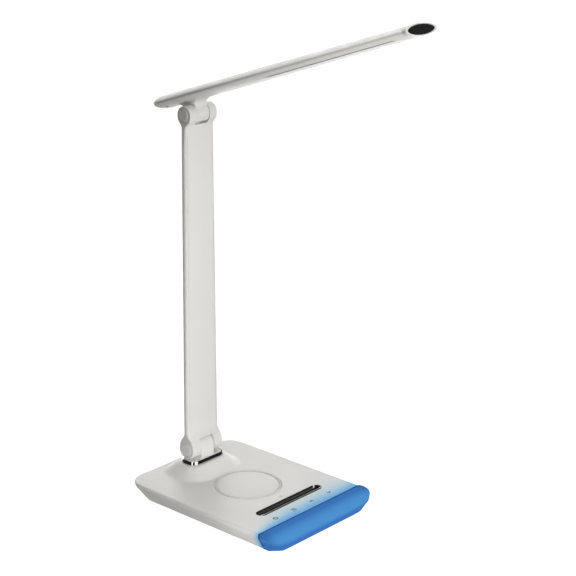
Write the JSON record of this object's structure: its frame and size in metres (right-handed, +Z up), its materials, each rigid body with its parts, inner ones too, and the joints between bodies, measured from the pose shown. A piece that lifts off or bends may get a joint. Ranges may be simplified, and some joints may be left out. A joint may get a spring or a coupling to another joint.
{
  "type": "desk lamp with wireless charger",
  "caption": "Folding desk lamp: a bar-shaped LED head on a slim hinged arm, on a wide flat base with a charging pad, a phone slot, touch marks and a glowing front edge.",
  "frame": {"origin": "middle of the lamp's footprint box, on the desk surface", "axes": "+Z up; -Y is the front, where the light bar is and where the head reaches to; +X is to the lamp's right, along both hinge axes"},
  "size_m": [0.136, 0.285, 0.4615],
  "materials": {
    "white_plastic": "satin moulded ABS",
    "white_plastic_matte": "fine matte texture",
    "blue_diffuser": "translucent diffuser lit blue from inside",
    "light_diffuser": "opal diffuser, lit white",
    "black_gloss": "piano black",
    "black_plastic": "moulded black",
    "chrome": "mirror plated",
    "grip_rubber": "pale silicone, matte",
    "rubber_foot": "matte black rubber",
    "steel": "zinc plated",
    "copper": "enamelled copper winding",
    "ferrite": "sintered, matte",
    "circuit_board": "solder-mask green",
    "led_board": "white solder mask with small lamps",
    "cable_sleeve": "flat sleeved cable"
  },
  "bodies": {
    "base": {"base_top_shell": "white_plastic", "base_bottom_cover": "white_plastic_matte", "front_light_bar": "blue_diffuser", "rgb_led_strip": "led_board", "phone_slot_liner": "black_gloss", "charging_pad_ring": "grip_rubber", "charging_coil": "copper", "coil_ferrite": "ferrite", "charger_board": "circuit_board", "ballast_plate": "steel", "control_board": "circuit_board", "touch_sensor_board": "circuit_board", "power_inlet": "black_plastic", "chrome_foot_trim": "chrome", "hinge_foot": "white_plastic", "foot_screw_left": "steel", "foot_screw_right": "steel", "rubber_foot_front_left": "rubber_foot", "base_screw_front_left": "steel", "rubber_foot_front_right": "rubber_foot", "base_screw_front_right": "steel", "rubber_foot_rear_left": "rubber_foot", "base_screw_rear_left": "steel", "rubber_foot_rear_right": "rubber_foot", "base_screw_rear_right": "steel"},
    "arm": {"arm_rear_shell": "white_plastic", "arm_front_cover": "white_plastic", "arm_ribbon_cable": "cable_sleeve", "lower_hinge_bolt": "steel", "lower_hinge_nut": "steel", "lower_washer_left": "steel", "lower_hinge_cap_left": "white_plastic", "lower_washer_right": "steel", "lower_hinge_cap_right": "white_plastic", "upper_hinge_bolt": "steel", "upper_hinge_nut": "steel", "upper_washer_left": "steel", "upper_hinge_cap_left": "white_plastic", "upper_washer_right": "steel", "upper_hinge_cap_right": "white_plastic"},
    "head": {"head_upper_shell": "white_plastic", "head_lower_shell": "white_plastic", "head_diffuser": "light_diffuser", "head_led_board": "led_board", "head_end_ring": "white_plastic", "head_end_cap": "black_gloss", "head_screw_left": "steel", "head_screw_right": "steel"}
  },
  "joints": [
    {"name": "arm_fold", "type": "hinge", "parent": "base", "child": "arm", "pos_m": [0, 0.10726, 0.0408], "axis": [1, 0, 0], "range_deg": [-12, 86]},
    {"name": "head_tilt", "type": "hinge", "parent": "arm", "child": "head", "pos_m": [0, 0.10536, 0.358], "axis": [1, 0, 0], "range_deg": [-70, 108]}
  ]
}
